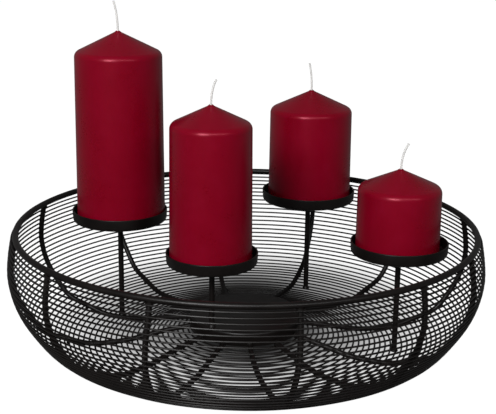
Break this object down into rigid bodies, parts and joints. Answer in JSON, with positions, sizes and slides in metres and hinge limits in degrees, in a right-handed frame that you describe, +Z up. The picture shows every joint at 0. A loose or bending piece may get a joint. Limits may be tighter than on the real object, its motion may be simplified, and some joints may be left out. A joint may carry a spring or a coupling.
{
  "type": "metal advent wreath",
  "caption": "Low round bowl of black metal wire on curved ribs, with a raised cap in the middle and small plates on legs that carry dark red pillar candles of stepped heights",
  "frame": {"origin": "On the surface that the wreath stands on, under the centre of its bowl", "axes": "+X to the right, +Y to the back and +Z up, with the front wires towards -Y"},
  "size_m": [0.3928, 0.3928, 0.2809],
  "materials": {
    "black_metal": "satin",
    "red_wax": "satin",
    "cotton": "matte"
  },
  "bodies": {
    "root": {"rim_ring": "black_metal", "rib_1": "black_metal", "rib_2": "black_metal", "rib_3": "black_metal", "rib_4": "black_metal", "rib_5": "black_metal", "rib_6": "black_metal", "rib_7": "black_metal", "rib_8": "black_metal", "rib_9": "black_metal", "rib_10": "black_metal", "rib_11": "black_metal", "rib_12": "black_metal", "wall_wire_1": "black_metal", "wall_wire_2": "black_metal", "wall_wire_3": "black_metal", "wall_wire_4": "black_metal", "wall_wire_5": "black_metal", "wall_wire_6": "black_metal", "wall_wire_7": "black_metal", "wall_wire_8": "black_metal", "wall_wire_9": "black_metal", "wall_wire_10": "black_metal", "wall_wire_11": "black_metal", "wall_wire_12": "black_metal", "wall_wire_13": "black_metal", "wall_wire_14": "black_metal", "wall_wire_15": "black_metal", "floor_wire_1": "black_metal", "floor_wire_2": "black_metal", "floor_wire_3": "black_metal", "floor_wire_4": "black_metal", "floor_wire_5": "black_metal", "floor_wire_6": "black_metal", "floor_wire_7": "black_metal", "centre_cap": "black_metal", "tall_leg": "black_metal", "tall_plate": "black_metal", "tall_candle": "red_wax", "tall_wick": "cotton", "front_leg": "black_metal", "front_plate": "black_metal", "front_candle": "red_wax", "front_wick": "cotton", "back_leg": "black_metal", "back_plate": "black_metal", "back_candle": "red_wax", "back_wick": "cotton", "short_leg": "black_metal", "short_plate": "black_metal", "short_candle": "red_wax", "short_wick": "cotton"}
  },
  "joints": []
}
